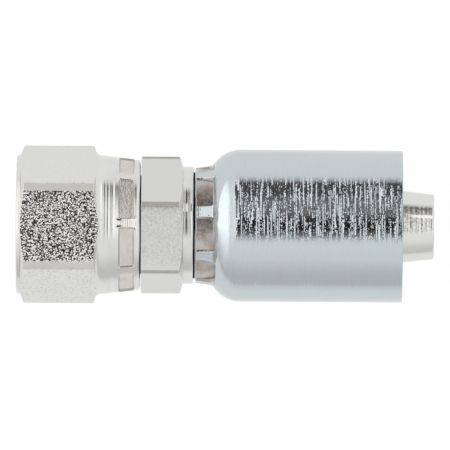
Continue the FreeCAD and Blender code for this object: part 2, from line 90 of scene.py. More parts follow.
# Degrees from an edge at which more outlines are placed.
HEX_OFFSETS = (-0.9, -0.45, -0.15, 0.15, 0.45, 0.9)
RIDGE_OFFSETS = (-1.8, -1.2, -0.8, -0.4, 0.0, 0.4, 0.8, 1.2, 1.8)
# Noise stays mostly between these values, which a roughness is spread over.
MOST_NOISE = (0.3, 0.7)
# Length of a turned line round the axis, so great that it looks unbroken, and of a stain.
LINE_MM = 60.0
STAIN_MM = (2.4, 5.0, 5.0)
# Numbers of a Mix node's colour inputs and of its colour output.
MIX_FIRST, MIX_SECOND, MIX_RESULT = 6, 7, 2


class Zone(Enum):
    """Which finish a stretch of an outline takes."""

    TURNED = 0
    FLAT = 1
    BAR_EDGE = 2
    RINGED = 3
    PRESSED = 4
    INSIDE = 5
    # Painted shade: a dark finish where a narrow gap or a crimp mark's edge lies in shade.
    PAINTED_SHADE = 6
    TAIL = 7


Outline = tuple[list[Point], list[Zone]]


# Colour, nodes and objects


def linear(hex_code: str) -> Colour:
    """Turn an sRGB hex value into a linear colour.

    Args:
        hex_code: Six hex digits after a hash.

    Returns:
        Linear red, green and blue, with an alpha of one.
    """
    parts = [int(hex_code[start : start + 2], 16) / 255 for start in (1, 3, 5)]
    shades = [v / 12.92 if v <= 0.04045 else ((v + 0.055) / 1.055) ** 2.4 for v in parts]
    return (*shades, 1.0)


def add_node(tree: Tree, kind: str, inputs: dict | tuple = (), **settings: object) -> Node:
    """Add a node with its settings, its values and its links.

    Args:
        tree: Tree that gets the node.
        kind: The node's type name.
        inputs: Values, sockets or nodes, in order or by the input's name or number. A node
            stands for its first output. Map Range takes a value, the range it comes from and
            the range it goes to.
        settings: Properties of the node itself.

    Returns:
        The new node.
    """
    node = tree.nodes.new(kind)
    for name, value in settings.items():
        setattr(node, name, value)
    pairs = inputs.items() if isinstance(inputs, dict) else enumerate(inputs)
    for key, value in pairs:
        source = value.outputs[0] if isinstance(value, Node) else value
        if isinstance(source, Socket):
            tree.links.new(source, node.inputs[key])
        else:
            node.inputs[key].default_value = source
    return node


def add_object(name: str, data: bpy.types.ID) -> bpy.types.Object:
    """Put an object into the scene, at the origin."""
    made = bpy.data.objects.new(name, data)
    bpy.context.scene.collection.objects.link(made)
    return made


# Outlines


@dataclass(frozen=True)
class Corner:
    """A corner of a turned outline, with the zone of the stretch that follows it.

    The share is how much of the shorter stretch beside it the rounding may take.
    """

    along: float
    out: float
    rounding: float = 0.0
    steps: int = 3
    zone: Zone = Zone.TURNED
    share: float = 0.49


def sharp(zone: Zone, *places: Point) -> list[Corner]:
    """Make sharp corners of one zone from their places along the axis and out from it."""
    return [Corner(along, out, zone=zone) for along, out in places]


def round_corners(corners: list[Corner]) -> Outline:
    """Turn corners into a closed line, with an arc at each corner that is rounded.

    Args:
        corners: Corners in order round the outline.

    Returns:
        The line's points, and the zone of the stretch after each point.
    """
    points: list[Point] = []
    zones: list[Zone] = []
    for index, corner in enumerate(corners):
        place = (corner.along, corner.out)
        if not corner.rounding:
            points.append(place)
            zones.append(corner.zone)
            continue
        before, after = corners[index - 1], corners[(index + 1) % len(corners)]
        back = (before.along - corner.along, before.out - corner.out)
        ahead = (after.along - corner.along, after.out - corner.out)
        lengths = math.hypot(*back), math.hypot(*ahead)
        cosine = (back[0] * ahead[0] + back[1] * ahead[1]) / (lengths[0] * lengths[1])
        half = math.acos(max(-1.0, min(1.0, cosine))) / 2
        limit = corner.share * min(lengths)
        reach = max(min(corner.rounding / math.tan(half), limit), min(CLOSEST_POINTS, limit))
        start = [here + reach * part / lengths[0] for here, part in zip(place, back)]
        end = [here + reach * part / lengths[1] for here, part in zip(place, ahead)]
        for step in range(corner.steps + 1):
            share = step / corner.steps
            first, last = (1 - share) ** 2, share**2
            middle = 2 * share * (1 - share) * math.sin(half)
            whole = first + middle + last
            blend = zip(start, place, end)
            points.append(tuple((first * s + middle * c + last * e) / whole for s, c, e in blend))
            zones.append(corner.zone if step == corner.steps else Zone.TURNED)
    return points, zones


def add_stations(corners: list[Corner], places: Iterable[float]) -> list[Corner]:
    """Add plain points to a straight outline stretch, between corners that it passes.

    Args:
        corners: Corners in order, going towards +X.
        places: Places along the axis that need a point.

    Returns:
        The corners with the new ones in between.
    """
    result: list[Corner] = []
    for here, after in zip(corners, corners[1:]):
        result.append(here)
        for place in sorted(places):
            if here.along + CLOSEST_POINTS < place < after.along - CLOSEST_POINTS:
                share = (place - here.along) / (after.along - here.along)
                out = here.out + share * (after.out - here.out)
                result.append(Corner(place, out, zone=here.zone))
    return result + [corners[-1]]


def smooth_step(low: float, high: float, value: float) -> float:
    """Rise smoothly from 0 at low to 1 at high."""
    share = max(0.0, min(1.0, (value - low) / (high - low)))
    return share * share * (3 - 2 * share)


def soft_minimum(first: float, second: float, blend: float) -> float:
    """Return the smaller of two lengths, with the change between them eased over a blend."""
    return (first + second - math.hypot(first - second, blend)) / 2


def angle_off(angle: float, centre: float, spacing: float) -> float:
    """Return the signed angle from the nearest of a set of evenly spaced angles."""
    return (angle - centre + spacing / 2) % spacing - spacing / 2


def beside_edges(first: float, count: int, half: float, offsets: tuple[float, ...]) -> list[float]:
    """Return angles beside both edges of each of a count of evenly spaced flats or ridges."""
    middles = [first + TURN / count * n for n in range(count)]
    return [m + side * half + offset for m in middles for side in (-1, 1) for offset in offsets]


def spread_angles(step: float, dense: Iterable[float]) -> list[float]:
    """Return angles all the way round, evenly spread and closer together where it matters.

    Args:
        step: Even spacing.
        dense: Angles that are added to the even ones.

    Returns:
        Sorted angles, none closer to the next than is allowed.
    """
    even = [n * step for n in range(round(TURN / step))]
    wanted = sorted([angle % TURN for angle in dense] + even)
    kept = [wanted[0]]
    for angle in wanted[1:]:
        if angle - kept[-1] > CLOSEST_ANGLES and TURN + kept[0] - angle > CLOSEST_ANGLES:
            kept.append(angle)
    return kept


@dataclass(frozen=True)
class Hexagon:
    """Six flats with turned corners."""

    flat: float
    corner: float
    turn: float
    ease: float = 0.07
    corner_spill: float = 0.0

    def reach(self, angle: float) -> float:
        """Radius of the hexagon at an angle."""
        sharp_reach = self.flat / math.cos(math.radians(angle_off(angle, self.turn, SIXTH)))
        return soft_minimum(sharp_reach, self.corner, self.ease)

    def zone(self, angle: float) -> Zone:
        """Finish of the hexagon at an angle, on a flat or on a turned corner, which may spill
        over.
        """
        off = abs(angle_off(angle, self.turn, SIXTH))
        return Zone.FLAT if off < self.half_flat() - self.corner_spill else Zone.BAR_EDGE

    def half_flat(self) -> float:
        """Angle from the middle of a flat to its edge."""
        return math.degrees(math.acos(self.flat / self.corner))

    def dense_angles(self) -> list[float]:
        """Angles that need an outline, beside each edge between a flat and a corner."""
        return beside_edges(self.turn, 6, self.half_flat(), HEX_OFFSETS)


@dataclass(frozen=True)
class CrimpMarks:
    """Flats that eight jaws press into a round surface, with a ridge between two jaws.

    A mark's walls slope over the wall's width. The metal that a jaw pushes aside stands up beside
    its walls as a burr, which ends softly at the ends of the mark. The last three values are the
    shares of the full depth at which an edge darkened as painted shade, a mark's wall and its
    floor begin.
    """

    start: float
    end: float
    ridge_width: float
    first_ridge: float
    around: float
    sink: float
    jaws: int = 8
    wall: float = 0.24
    flatness: float = 0.45
    burr: float = 0.05
    burr_beside: float = 0.9
    burr_narrowness: float = 2.0
    burr_end: float = 0.5
    flare: float = 0.0
    flare_length: float = 1.2
    edge_from: float = 0.45
    wall_from: float = 0.15
    floor_from: float = 0.96

    def half_ridge(self, along: float = 0.0) -> float:
        """Half of a ridge, as an angle. It flares where the ridge runs out at the marks' end."""
        wider = self.flare * smooth_step(self.end - self.flare_length, self.end, along)
        return math.degrees((self.ridge_width / 2 + wider) / self.around)

    def press(self, angle: float, along: float = 0.0) -> float:
        """Share of the full depth at an angle, from 0 on a ridge to 1 in a mark."""
        off = abs(angle_off(angle, self.first_ridge, TURN / self.jaws))
        slope = math.degrees(self.wall / self.around)
        half = self.half_ridge(along)
        return smooth_step(half - slope / 2, half + slope / 2, off)

    def within(self, along: float, ease: float) -> float:
        """Rise from 0 to 1 about the marks' start and fall about their end, eased both ways."""
        front = smooth_step(self.start - ease, self.start + ease, along)
        return front * (1 - smooth_step(self.end - ease, self.end + ease, along))

    def pressed(self, angle: float, along: float, out: float) -> float:
        """Radius of a point after the jaws have pressed it flat."""
        half_jaw = TURN / self.jaws / 2
        from_middle = math.radians(angle_off(angle, self.first_ridge + half_jaw, 2 * half_jaw))
        side = math.radians(half_jaw - self.half_ridge())
        dip = (math.cos(side) / math.cos(from_middle)) ** self.flatness
        floor = (min(out, self.around) - self.sink) * dip
        inside = self.within(along, self.wall / 2)
        off = abs(angle_off(angle, self.first_ridge, TURN / self.jaws))
        beside = math.radians(self.half_ridge(along) - off) * self.around / self.wall
        hump = math.exp(-((beside - self.burr_beside) ** 2) * self.burr_narrowness)
        raised = self.burr * hump * self.within(along, self.burr_end)
        return out + (min(out, floor) - out) * inside * self.press(angle, along) + raised

    def dense_angles(self) -> list[float]:
        """Angles that need an outline, beside each edge between a mark and a ridge."""
        return beside_edges(self.first_ridge, self.jaws, self.half_ridge(), RIDGE_OFFSETS)

    def stations(self) -> list[float]:
        """Places along the axis at which a mark's end walls need points."""
        half = self.wall / 2
        offsets = (-0.6, -0.45, -0.3, -half, -half / 2, 0.0, half / 2, half, 0.3, 0.45, 0.6)
        return [place + offset for place in (self.start, self.end) for offset in offsets]


def loft(
    name: str,
    angles: list[float],
    outline: Callable[[float], Outline],
    materials: dict[Zone, Material],
) -> bpy.types.Object:
    """Join one closed outline for each angle into a watertight mesh of four-sided faces.

    Args:
        name: The new object's name.
        angles: Angles round the axis, from straight up and turning right-handed about +X.
        outline: Gives the outline and its zones at an angle, always with as many points.
        materials: The material of each zone.

    Returns:
        The new object, at the origin.
    """
    slots = list(dict.fromkeys(materials.values()))
    mesh = bpy.data.meshes.new(name)
    for material in slots:
        mesh.materials.append(material)
    shape = bmesh.new()
    rows = []
    zone_rows = []
    for angle in angles:
        points, zones = outline(angle)
        across, up = -math.sin(math.radians(angle)), math.cos(math.radians(angle))
        rows.append(
            [shape.verts.new((x * MM, r * across * MM, r * up * MM)) for x, r in points]
        )
        zone_rows.append(zones)
    for index, row in enumerate(rows):
        following = rows[(index + 1) % len(rows)]
        for step, corner in enumerate(row):
            after = (step + 1) % len(row)
            face = shape.faces.new((corner, row[after], following[after], following[step]))
            face.material_index = slots.index(materials[zone_rows[index][step]])
            face.smooth = True
    if shape.calc_volume(signed=True) < 0:
        bmesh.ops.reverse_faces(shape, faces=shape.faces)
    shape.to_mesh(mesh)
    shape.free()
    mesh.set_sharp_from_angle(angle=math.radians(LOFT_CREASE))
    piece = add_object(name, mesh)
    weighted = piece.modifiers.new("even_flats", "WEIGHTED_NORMAL")
    weighted.keep_sharp = True
    return piece


# Geometry Nodes for what repeats


def start_tree(name: str, sizes: dict[str, float | int]) -> tuple[Tree, bpy.types.NodeOutputs]:
    """Start a tree that takes sizes and a finish and gives a mesh.

    Args:
        name: The tree's name.
        sizes: Each input's name and value. A whole number makes a count.

    Returns:
        The tree, and the outputs that its inputs arrive at.
    """
    tree = bpy.data.node_groups.new(name, "GeometryNodeTree")
    for key, value in sizes.items():
        kind = "NodeSocketInt" if isinstance(value, int) else "NodeSocketFloat"
        tree.interface.new_socket(key, in_out="INPUT", socket_type=kind)
    tree.interface.new_socket("Finish", in_out="INPUT", socket_type="NodeSocketMaterial")
    tree.interface.new_socket("Mesh", in_out="OUTPUT", socket_type="NodeSocketGeometry")
    return tree, tree.nodes.new("NodeGroupInput").outputs


def sweep(
    tree: Tree,
    curve: Node,
    corners: Iterable[tuple[Socket, Socket | float, float]],
    start: Node | Triple = (0.0, 0.0, 0.0),
    extra: dict[str, object] | None = None,
) -> Node:
    """Sweep a four-cornered profile along a curve wound about Z, and lay the result along X.

    Args:
        tree: Tree that gets the nodes.
        curve: The curve.
        corners: For each corner its height, its distance along the axis, and 1 or -1 for ahead
            or back.
        start: Where the curve's own start comes to lie.
        extra: More inputs of the sweep.

    Returns:
        The node that gives the mesh.
    """
    points = {}
    for number, (height, along, way) in enumerate(corners, 1):
        back = add_node(tree, "ShaderNodeMath", (along, -way), operation="MULTIPLY")
        points[f"Point {number}"] = add_node(tree, "ShaderNodeCombineXYZ", (height, back))
    profile = add_node(tree, "GeometryNodeCurvePrimitiveQuadrilateral", points, mode="POINTS")
    swept = {"Curve": curve, "Profile Curve": profile, **(extra or {})}
    mesh = add_node(tree, "GeometryNodeCurveToMesh", swept)
    laid = {"Geometry": mesh, "Translation": start, "Rotation": (0.0, QUARTER, 0.0)}
    return add_node(tree, "GeometryNodeTransform", laid)


def end_tree(tree: Tree, shape: Node, finish: Socket) -> None:
    """End a tree in Realize Instances and Set Material."""
    solid = add_node(tree, "GeometryNodeRealizeInstances", {"Geometry": shape})
    dressed = {"Geometry": solid, "Material": finish}
    add_node(tree, "NodeGroupOutput", {"Mesh": add_node(tree, "GeometryNodeSetMaterial", dressed)})


def ring_row_tree(sizes: dict[str, float | int]) -> Tree:
    """Build the tree that repeats a turned ring along the axis."""
    tree, given = start_tree("ring_row", sizes)
    size = {"Resolution": given["Sides"], "Radius": given["Radius"]}
    circle = add_node(tree, "GeometryNodeCurvePrimitiveCircle", size)
    corners = (
        (given["Sunk"], 0.0, 1.0),
        (given["Height"], given["Crest start"], 1.0),
        (given["Height"], given["Crest end"], 1.0),
        (given["Sunk"], given["Foot"], 1.0),
    )
    line = {
        "Count": given["Count"],
        "Start Location": add_node(tree, "ShaderNodeCombineXYZ", (given["First"],)),
        "Offset": add_node(tree, "ShaderNodeCombineXYZ", (given["Pitch"],)),
    }
    row = {
        "Points": add_node(tree, "GeometryNodeMeshLine", line),
        "Instance": sweep(tree, circle, corners),
    }
    end_tree(tree, add_node(tree, "GeometryNodeInstanceOnPoints", row), given["Finish"])
    return tree


def thread_tree(sizes: dict[str, float | int]) -> Tree:
    """Build the tree that winds an internal thread's ridge along the axis.

    The ridge shrinks to almost nothing towards both ends, as a cut thread does.
    """
    tree, given = start_tree("thread_ridge", sizes)
    length = (given["Pitch"], given["Turns"])
    winding = {
        "Resolution": given["Sides"],
        "Rotations": given["Turns"],
        "Start Radius": given["Root radius"],
        "End Radius": given["Root radius"],
        "Height": add_node(tree, "ShaderNodeMath", length, operation="MULTIPLY"),
        "Reverse": True,
    }
    helix = add_node(tree, "GeometryNodeCurveSpiral", winding)
    steady = add_node(tree, "GeometryNodeSetCurveNormal", {"Curve": helix}, mode="Z_UP")
    place = add_node(tree, "GeometryNodeSplineParameter").outputs["Factor"]
    middle = 0.5
    centred = add_node(tree, "ShaderNodeMath", (place, middle), operation="SUBTRACT")
    distance = add_node(tree, "ShaderNodeMath", (centred,), operation="ABSOLUTE")
    shrinking = (distance, middle, given["Full size from"], given["End size"], 1.0)
    fade = add_node(tree, "ShaderNodeMapRange", shrinking)
    corners = (
        (given["Sunk"], given["Half root"], -1.0),
        (given["Height"], given["Half crest"], -1.0),
        (given["Height"], given["Half crest"], 1.0),
        (given["Sunk"], given["Half root"], 1.0),
    )
    start = add_node(tree, "ShaderNodeCombineXYZ", (given["First"],))
    ridge = sweep(tree, steady, corners, start, {"Scale": fade, "Fill Caps": True})
    end_tree(tree, ridge, given["Finish"])
    return tree


def grow(
    name: str,
    make_tree: Callable[[dict[str, float | int]], Tree],
    lengths: dict[str, float],
    counts: dict[str, float | int],
    material: Material,
) -> bpy.types.Object:
    """Run a Geometry Nodes tree and keep its result as a plain mesh.

    Args:
        name: The new object's name.
        make_tree: Builds the tree from its input names and values.
        lengths: Values for the tree's inputs, in millimetres.
        counts: Its other values, which are used as they are.
        material: The finish of the whole piece.

    Returns:
        The new object, with no modifier left on it.
    """
    sizes = {key: length * MM for key, length in lengths.items()} | counts
    tree = make_tree(sizes)
    holder = add_object(f"{name}_holder", bpy.data.meshes.new(f"{name}_holder"))
    modifier = holder.modifiers.new("grow", "NODES")
    modifier.node_group = tree
    for item in tree.interface.items_tree:
        if item.in_out == "INPUT":
            modifier[item.identifier] = material if item.name == "Finish" else sizes[item.name]
    evaluated = holder.evaluated_get(bpy.context.evaluated_depsgraph_get())
    mesh = bpy.data.meshes.new_from_object(evaluated)
    mesh.name = name
    holder.modifiers.remove(modifier)
    bpy.data.objects.remove(holder)
    shape = bmesh.new()
    shape.from_mesh(mesh)
    bmesh.ops.recalc_face_normals(shape, faces=shape.faces)
    for face in shape.faces:
        face.smooth = True
    shape.to_mesh(mesh)
    shape.free()
    mesh.set_sharp_from_angle(angle=math.radians(GROWN_CREASE))
    return add_object(name, mesh)


# Finishes


def new_material(name: str) -> tuple[Material, Tree, Socket]:
    """Start a material.

    Args:
        name: The material's name.

    Returns:
        The material, its emptied tree and the object coordinates.
    """
    material = bpy.data.materials.new(name)
    material.use_nodes = True
    tree = material.node_tree
    tree.nodes.clear()
    return material, tree, add_node(tree, "ShaderNodeTexCoord").outputs["Object"]


def noise(
    tree: Tree, place: Socket, grain_mm: Triple, detail: float = 0.0, shift: float = 0.0
) -> Node:
    """Add noise whose grain has a real size on each axis.

    Args:
        tree: Tree that gets the nodes.
        place: Object coordinates.
        grain_mm: Length of a grain along X, Y and Z, in millimetres.
        detail: Octaves of finer grain.
        shift: Moves the pattern, in grains.

    Returns:
        The noise. Its first output is one value of about 0 to 1, and its colour three such
        values that have nothing to do with each other.
    """
    scale = tuple(1 / (grain * MM) for grain in grain_mm)
    mapping = {"Vector": place, "Location": (shift, shift + SEED, SEED), "Scale": scale}
    placed = add_node(tree, "ShaderNodeMapping", mapping)
    pattern = {"Vector": placed, "Scale": 1.0, "Detail": detail, "Roughness": 0.6}
    return add_node(tree, "ShaderNodeTexNoise", pattern)


def stained(
    tree: Tree, plain: Socket | Colour, stain: str, pattern: Node, span: Point, most: float = 1.0
) -> Socket:
    """Let a second colour through where a pattern is strong.

    Args:
        tree: Tree that gets the nodes.
        plain: The colour without the stain.
        stain: The stain's colour, as an sRGB hex value.
        pattern: Says where the stain is.
        span: Values of the pattern between which the stain grows from nothing to its most.
        most: The stain's greatest share.

    Returns:
        The mixed colour.
    """
    share = add_node(tree, "ShaderNodeMapRange", (pattern, *span, 0.0, most))
    colours = {0: share, MIX_FIRST: plain, MIX_SECOND: linear(stain)}
    return add_node(tree, "ShaderNodeMix", colours, data_type="RGBA").outputs[MIX_RESULT]


def leant(tree: Tree, slope: Node) -> Node:
    """Lean the surface by a slope along each of the object's axes.

    A relief as fine as a pixel is smoothed away before it is lit, and a surface that is leant
    outright isn't, so it keeps its sparkle.
    """
    to_world = {"vector_type": "VECTOR", "convert_from": "OBJECT", "convert_to": "WORLD"}
    turned = add_node(tree, "ShaderNodeVectorTransform", (slope,), **to_world)
    plain = add_node(tree, "ShaderNodeNewGeometry").outputs["Normal"]
    summed = add_node(tree, "ShaderNodeVectorMath", (plain, turned), operation="ADD")
    return add_node(tree, "ShaderNodeVectorMath", (summed,), operation="NORMALIZE")


@dataclass(frozen=True)
class Plating:
    """A bare plated metal whose roughness wanders from place to place."""

    name: str
    colour: str
    roughness: Point

    def surface(self, tree: Tree, place: Socket) -> Surface:
        """Give the colour, the pattern that the roughness follows, and the normal."""
        raise NotImplementedError

    def material(self) -> Material:
        """Build the material."""
        material, tree, place = new_material(self.name)
        colour, pattern, normal = self.surface(tree, place)
        rough = add_node(tree, "ShaderNodeMapRange", (pattern, *MOST_NOISE, *self.roughness))
        metal = {"Base Color": colour, "Metallic": 1.0, "Roughness": rough, "Normal": normal}
        shader = add_node(tree, "ShaderNodeBsdfPrincipled", metal)
        add_node(tree, "ShaderNodeOutputMaterial", {"Surface": shader})
        return material


@dataclass(frozen=True)
class TurnedZinc(Plating):
    """Clear zinc plating over turned free-cutting steel.

    The tool's feed leaves fine rings, so a dark reflection breaks up into hairlines round the
    part, and the plating gives the rest a warm silver sheen. The rings are shallower past one
    place along the axis.
    """

    name: str = "clear_zinc_plated_turned_steel"
    colour: str = "#DEDEDA"
    roughness: Point = (0.07, 0.11)
    shade: str = "#D6D5CF"
    ring_mm: float = 0.34
    depth_mm: float = 0.018
    grain: float = 0.1
    coarse_until: float = 17.5
    change_length: float = 0.4
    shallow_share: float = 0.4

    def surface(self, tree: Tree, place: Socket) -> Surface:
        """Give two tints, and rings with a little grain."""
        rings = noise(tree, place, (self.ring_mm, LINE_MM, LINE_MM), detail=1.0)
        grain = noise(tree, place, (0.35, 0.5, 0.5), detail=1.0)
        stain = noise(tree, place, STAIN_MM, detail=3.0)
        both = (grain, self.grain, rings)
        height = add_node(tree, "ShaderNodeMath", both, operation="MULTIPLY_ADD")
        along = add_node(tree, "ShaderNodeSeparateXYZ", (place,)).outputs["X"]
        change = (self.coarse_until * MM, (self.coarse_until + self.change_length) * MM)
        share = add_node(tree, "ShaderNodeMapRange", (along, *change, 1.0, self.shallow_share))
        height = add_node(tree, "ShaderNodeMath", (height, share), operation="MULTIPLY")
        colour = stained(tree, linear(self.colour), self.shade, stain, (0.42, 0.72))
        bump = {"Height": height, "Strength": 1.0, "Distance": self.depth_mm * MM}
        return colour, stain, add_node(tree, "ShaderNodeBump", bump)


@dataclass(frozen=True)
class FeedMarkedZinc(Plating):
    """Clear zinc plating over steel that was turned at a coarse feed.

    Each feed mark has a long flank that leans back, so a dark reflection sits lower on the
    taper than on a smooth one, and looks streaked.
    """

    name: str = "clear_zinc_plated_coarsely_turned"
    colour: str = "#DEDEDA"
    roughness: Point = (0.09, 0.12)
    ring_mm: float = 0.34
    grain: float = 0.5
    slope: float = 0.06
    flank: float = 0.005

    def surface(self, tree: Tree, place: Socket) -> Surface:
        """Give one colour, and rings that lean to and fro along the axis."""
        rings = noise(tree, place, (self.ring_mm, LINE_MM, LINE_MM), detail=1.0)
        grain = noise(tree, place, (0.36, 0.4, 0.4))
        stain = noise(tree, place, STAIN_MM, detail=3.0)
        both = (grain, self.grain, rings)
        both = add_node(tree, "ShaderNodeMath", both, operation="MULTIPLY_ADD")
        mean = (1 + self.grain) / 2
        centred = (both, self.slope, -mean * self.slope - self.flank)
        lean = add_node(tree, "ShaderNodeMath", centred, operation="MULTIPLY_ADD")
        lean = add_node(tree, "ShaderNodeCombineXYZ", (lean,))
        return linear(self.colour), stain, leant(tree, lean)


@dataclass(frozen=True)
class BarSkin(Plating):
    """Clear zinc plating over the skin of drawn hexagon bar.

    Shot or scale leaves it pebbled like fine sand. A flat that mirrors the dark gap overhead
    sparkles with dark and light specks, and one that mirrors white looks plain. The pebbles are
    drawn as coarse as a picture shows them, two pixels wide, and real ones may be finer.
    """

    name: str = "clear_zinc_plated_pebbled_bar"
    colour: str = "#DBDBD8"
    roughness: Point = (0.03, 0.05)
    grain_mm: float = 0.36
    slope: float = 0.75

    def surface(self, tree: Tree, place: Socket) -> Surface:
        """Give one colour, and grains that each lean a way of their own."""
        pebbles = noise(tree, place, (self.grain_mm,) * 3).outputs["Color"]
        patches = noise(tree, place, (3.5, 3.5, 3.5), detail=2.0)
        centred = (pebbles, (self.slope,) * 3, (-self.slope / 2,) * 3)
        lean = add_node(tree, "ShaderNodeVectorMath", centred, operation="MULTIPLY_ADD")
        return linear(self.colour), patches, leant(tree, lean)


@dataclass(frozen=True)
class PressedZinc(Plating):
    """Plating that a crimping jaw has pressed and rubbed.

    It is duller than the plating beside it, with fine scuffs and a brown rub in places.
    """

    name: str = "jaw_pressed_zinc_plating"
    colour: str = "#D6D4CE"
    roughness: Point = (0.22, 0.34)
    rub: str = "#CBC6BE"
    scuff_mm: float = 0.5
    depth_mm: float = 0.04

    def surface(self, tree: Tree, place: Socket) -> Surface:
        """Give the plating's colour with the rub in patches, and scuffs."""
        round_axis = self.scuff_mm * 1.5
        scuffs = noise(tree, place, (self.scuff_mm, round_axis, round_axis), detail=3.0)
        stain = noise(tree, place, (1.6, 2.4, 2.4), detail=2.0)
        colour = stained(tree, linear(self.colour), self.rub, stain, (0.4, 0.7))
        bump = {"Height": scuffs, "Strength": 1.0, "Distance": self.depth_mm * MM}
        return colour, scuffs, add_node(tree, "ShaderNodeBump", bump)


@dataclass(frozen=True)
class BrightZincTube(Plating):
    """Bright blue-passivated zinc over steel tube that was turned at a fine feed.

    The rings break a dark reflection into black and white hairlines with faint blue and brown
    tints, and leave the rest a cool, even silver. The rounded shoulder is smoother than the tube.
    """

    name: str = "blue_passivated_zinc_turned_tube"
    colour: str = "#C6CED1"
    roughness: Point = (0.05, 0.09)
    blue: str = "#B8CED6"
    brown: str = "#C9C0BB"
    ring_mm: float = 0.26
    slope: float = 0.5
    grain: float = 0.6
    collar_depth: float = 0.3
    shoulder_depth: float = 0.15
    collar_end: float = 35.2
    shoulder_start: float = 36.2
    shoulder_end: float = 38.0
    tube_start: float = 40.0

    def surface(self, tree: Tree, place: Socket) -> Surface:
        """Give a silver with blue and brown tints, and rings with hairlines and grain."""
        lean = add_node(tree, "ShaderNodeCombineXYZ", (self.lean_along(tree, place),))
        tint = noise(tree, place, (0.4, 3.0, 3.0), detail=1.0, shift=9.0)
        patch = noise(tree, place, (5.0, 6.0, 6.0), detail=2.0, shift=3.0)
        colour = stained(tree, linear(self.colour), self.blue, tint, (0.55, 0.7), most=0.3)
        colour = stained(tree, colour, self.brown, tint, (0.42, 0.28), most=0.2)
        return colour, patch, leant(tree, lean)

    def lean_along(self, tree: Tree, place: Socket) -> Node:
        """Give how far the surface leans along the axis, which it does least on the shoulder."""
        rings = noise(tree, place, (self.ring_mm, 20.0, 20.0))
        hairlines = noise(tree, place, (0.22, 4.0, 4.0), shift=5.0)
        grain = noise(tree, place, (0.24, 0.3, 0.3))
        lines = add_node(tree, "ShaderNodeMath", (rings, hairlines), operation="ADD")
        every = (grain, self.grain, lines)
        every = add_node(tree, "ShaderNodeMath", every, operation="MULTIPLY_ADD")
        mean = (1 + 1 + self.grain) / 2
        lean = (every, self.slope, -mean * self.slope)
        lean = add_node(tree, "ShaderNodeMath", lean, operation="MULTIPLY_ADD")
        along = add_node(tree, "ShaderNodeSeparateXYZ", (place,)).outputs["X"]
        depths = []
        for start, end, first, last in (
            (self.collar_end, self.shoulder_start, self.collar_depth, self.shoulder_depth),
            (self.shoulder_end, self.tube_start, self.shoulder_depth, 1.0),
        ):
            change = (along, start * MM, end * MM, first, last)
            depths.append(add_node(tree, "ShaderNodeMapRange", change))
        depth = add_node(tree, "ShaderNodeMath", tuple(depths), operation="MAXIMUM")
        return add_node(tree, "ShaderNodeMath", (lean, depth), operation="MULTIPLY")


def painted_shade_steel() -> Material:
    """Make a near-black finish that paints the shade at the foot of a narrow gap."""
    material, tree, _ = new_material("painted_shade_steel_in_gap")
    oily = {"Base Color": linear("#1B1A19"), "Roughness": 0.6, "Specular IOR Level": 0.05}
    shader = add_node(tree, "ShaderNodeBsdfPrincipled", oily | {"Metallic": 0.0})
    add_node(tree, "ShaderNodeOutputMaterial", {"Surface": shader})
    return material


# The three pieces


def seat_piece(piece: bpy.types.Object, body: str, slot: str, *nodes: str) -> None:
    """Make a piece ride on its body, and hide the imported nodes that it stands for."""
    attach(piece, body)
    if nodes:
        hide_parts(*nodes)
    LOG.info("%s: %d faces on %s", piece.name, len(piece.data.polygons), body)


